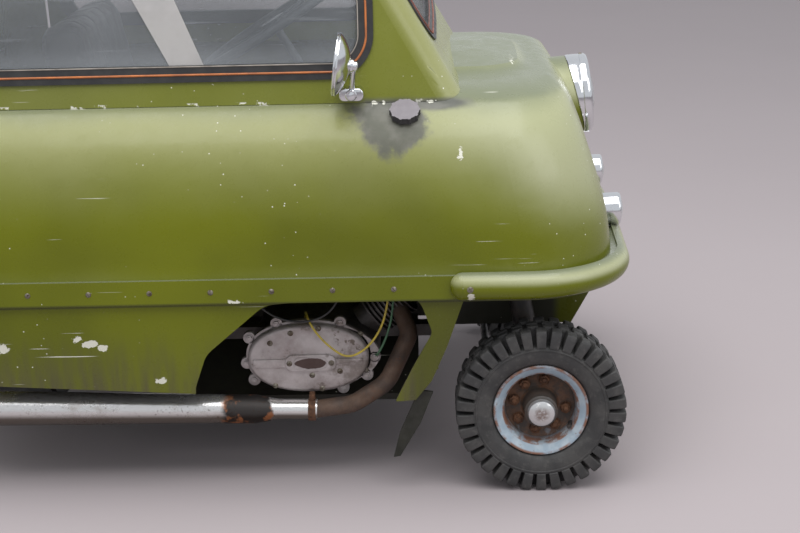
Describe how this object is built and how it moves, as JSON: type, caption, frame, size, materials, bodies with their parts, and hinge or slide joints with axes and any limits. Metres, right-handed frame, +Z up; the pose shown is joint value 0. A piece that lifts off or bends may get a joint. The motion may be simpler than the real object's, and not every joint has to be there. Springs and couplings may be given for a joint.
{
  "type": "three wheeled microcar",
  "caption": "Tiny glass-fibre three wheeled car with a door, steered front wheels, a driven rear wheel and an engine showing in its side.",
  "frame": {"origin": "on the ground under the middle of the car", "axes": "+X forward, +Y to the car's left, +Z up"},
  "size_m": [1.3758, 0.992, 1.17],
  "materials": {
    "body_paint": "faded gloss",
    "inner_skin": "rough moulding",
    "window_glass": "scratched",
    "seal_rubber": "matt",
    "lens_glass": "clear",
    "chrome": "polished",
    "black_metal": "satin black",
    "seat_cover": "worn",
    "engine_alloy": "dull",
    "rusty_steel": "rusted",
    "silencer_steel": "stained",
    "rim_paint": "chipped",
    "tyre_rubber": "matt",
    "red_lens": "gloss",
    "steel": "dull"
  },
  "bodies": {
    "body": {"upper_hull": "body_paint", "cabin_shell": "body_paint", "waist_flange": "body_paint", "front_bumper": "body_paint", "headlamp_pod": "body_paint", "lower_body": "body_paint", "seat_base": "inner_skin", "dashboard": "inner_skin", "cabin_glass": "window_glass", "cabin_seals": "seal_rubber", "mud_flap": "seal_rubber", "lamp_lenses": "lens_glass", "headlamp_rim": "chrome", "front_lamps": "chrome", "wing_mirror": "chrome", "lift_handle": "chrome", "wiper": "chrome", "filler_cap": "black_metal", "steering_column": "black_metal", "pedals": "black_metal", "gear_lever": "black_metal", "front_beam": "black_metal", "rear_mounts": "black_metal", "rear_fork": "black_metal", "rear_springs": "black_metal", "hinge_brackets": "black_metal", "seat_cushion": "seat_cover", "seat_back": "seat_cover", "engine_case": "engine_alloy", "engine_cover": "engine_alloy", "engine_cylinder": "engine_alloy", "exhaust_header": "rusty_steel", "silencer": "silencer_steel", "tail_lamps": "red_lens", "drive_chain": "steel"},
    "door": {"door_panel": "body_paint", "door_glass": "window_glass", "door_seals": "seal_rubber", "door_hinges": "black_metal", "door_handle": "chrome"},
    "steering": {"steering_wheel": "black_metal"},
    "knuckle_right": {"knuckle_right": "black_metal"},
    "knuckle_left": {"knuckle_left": "black_metal"},
    "track_rod": {"track_rod": "black_metal"},
    "wheel_front_right": {"tyre_front_right": "tyre_rubber", "rim_front_right": "rim_paint"},
    "wheel_front_left": {"tyre_front_left": "tyre_rubber", "rim_front_left": "rim_paint"},
    "wheel_rear": {"tyre_rear": "tyre_rubber", "rim_rear": "rim_paint", "rear_sprocket": "steel"}
  },
  "joints": [
    {"name": "door_hinge", "type": "hinge", "parent": "body", "child": "door", "pos_m": [-0.495, 0.48, 0.5], "axis": [0, 0, 1], "range_deg": [0, 75]},
    {"name": "steering_turn", "type": "hinge", "parent": "body", "child": "steering", "pos_m": [0.028, 0, 0.778], "axis": [-0.515, 0, 0.8572], "range_deg": [-70, 70]},
    {"name": "kingpin_right", "type": "hinge", "parent": "body", "child": "knuckle_right", "pos_m": [0.511, -0.338, 0.15], "axis": [-0.1736, 0, 0.9848], "range_deg": [-28, 28]},
    {"name": "kingpin_left", "type": "hinge", "parent": "body", "child": "knuckle_left", "pos_m": [0.511, 0.338, 0.15], "axis": [-0.1736, 0, 0.9848], "range_deg": [-28, 28]},
    {"name": "track_rod_eye", "type": "hinge", "parent": "knuckle_right", "child": "track_rod", "pos_m": [0.42701, -0.338, 0.16565], "axis": [-0.1736, 0, 0.9848], "range_deg": [-28, 28]},
    {"name": "wheel_spin_front_right", "type": "hinge", "parent": "knuckle_right", "child": "wheel_front_right", "pos_m": [0.511, -0.42, 0.15], "axis": [0, 1, 0], "continuous": true},
    {"name": "wheel_spin_front_left", "type": "hinge", "parent": "knuckle_left", "child": "wheel_front_left", "pos_m": [0.511, 0.42, 0.15], "axis": [0, 1, 0], "continuous": true},
    {"name": "wheel_spin_rear", "type": "hinge", "parent": "body", "child": "wheel_rear", "pos_m": [-0.526, 0, 0.15], "axis": [0, 1, 0], "continuous": true}
  ],
  "couplings": [
    {"joint": "kingpin_right", "follows": "steering_turn", "ratio": 0.4},
    {"joint": "kingpin_left", "follows": "steering_turn", "ratio": 0.4},
    {"joint": "track_rod_eye", "follows": "steering_turn", "ratio": -0.4}
  ]
}
